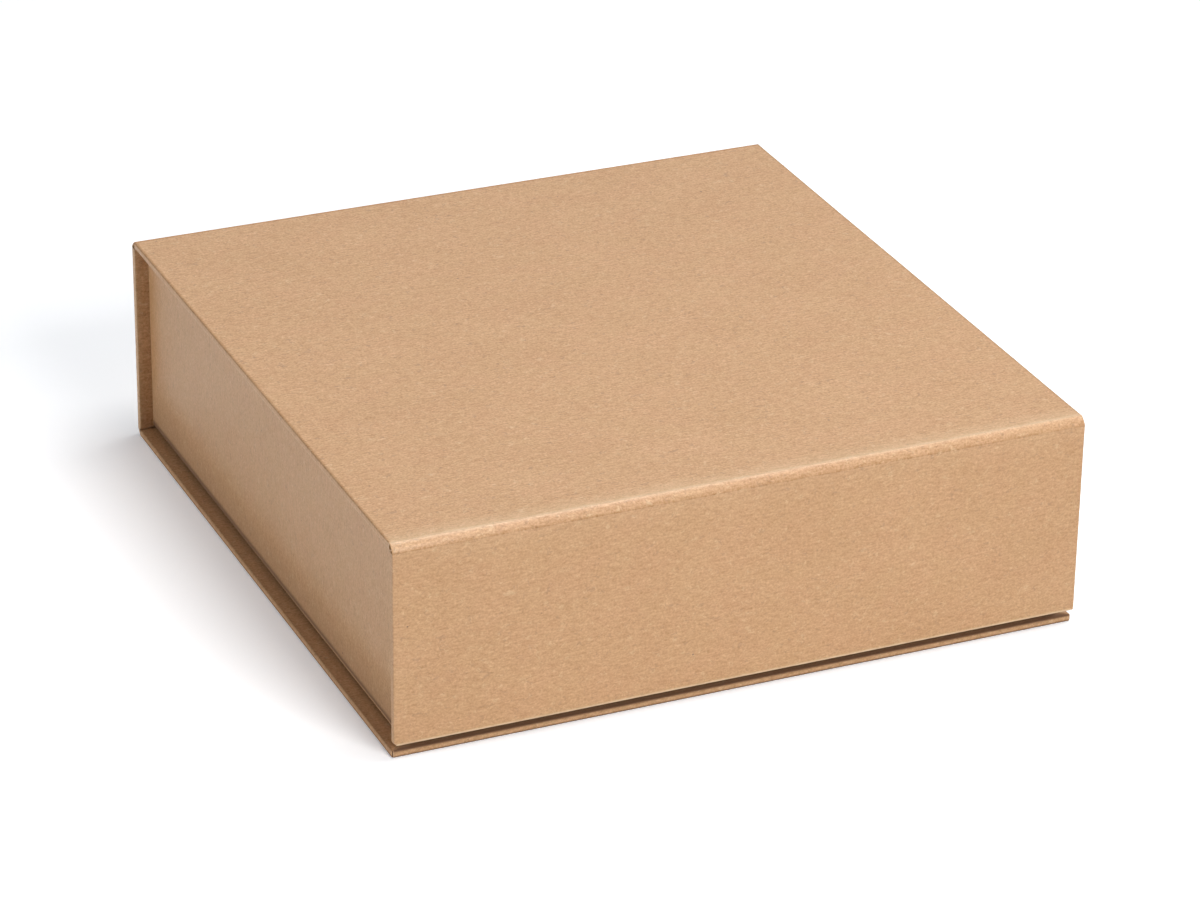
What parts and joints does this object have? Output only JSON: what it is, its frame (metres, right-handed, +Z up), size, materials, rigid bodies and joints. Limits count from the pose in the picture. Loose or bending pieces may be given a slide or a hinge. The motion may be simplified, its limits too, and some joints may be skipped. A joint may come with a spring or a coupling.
{
  "type": "rigid presentation box with a book-style lid and front flap",
  "caption": "Kraft-paper-covered rigid board box: a glued tray in a book-style cover whose lid hinges at the spine and whose front flap folds down and holds by magnets.",
  "frame": {"origin": "middle of the footprint, on the surface that the box stands on", "axes": "+Z up, +Y from the flap at the front to the spine at the back, +X along the width to the right as seen from the flap's side"},
  "size_m": [0.22, 0.23, 0.069],
  "materials": {
    "greyboard": "matte",
    "kraft_wrap": "matte",
    "kraft_lining": "matte",
    "magnet": "satin"
  },
  "bodies": {
    "tray_and_base": {"base_board": "greyboard", "spine_board": "greyboard", "base_spine_wrap": "kraft_wrap", "spine_lining": "kraft_lining", "tray_board": "greyboard", "tray_wrap": "kraft_wrap", "tray_floor_lining": "kraft_lining", "tray_magnets": "magnet", "lid_fold": "kraft_wrap"},
    "lid": {"lid_board": "greyboard", "lid_wrap": "kraft_wrap", "lid_lining": "kraft_lining", "flap_fold": "kraft_wrap"},
    "flap": {"flap_board": "greyboard", "flap_wrap": "kraft_wrap", "flap_lining": "kraft_lining", "flap_magnets": "magnet"}
  },
  "joints": [
    {"name": "lid_hinge", "type": "hinge", "parent": "tray_and_base", "child": "lid", "pos_m": [0, 0.11424, 0.06824], "axis": [-1, 0, 0], "range_deg": [0, 175], "deforming": ["lid_fold"]},
    {"name": "flap_hinge", "type": "hinge", "parent": "lid", "child": "flap", "pos_m": [0, -0.11424, 0.06824], "axis": [-1, 0, 0], "range_deg": [0, 175], "deforming": ["flap_fold"]}
  ]
}
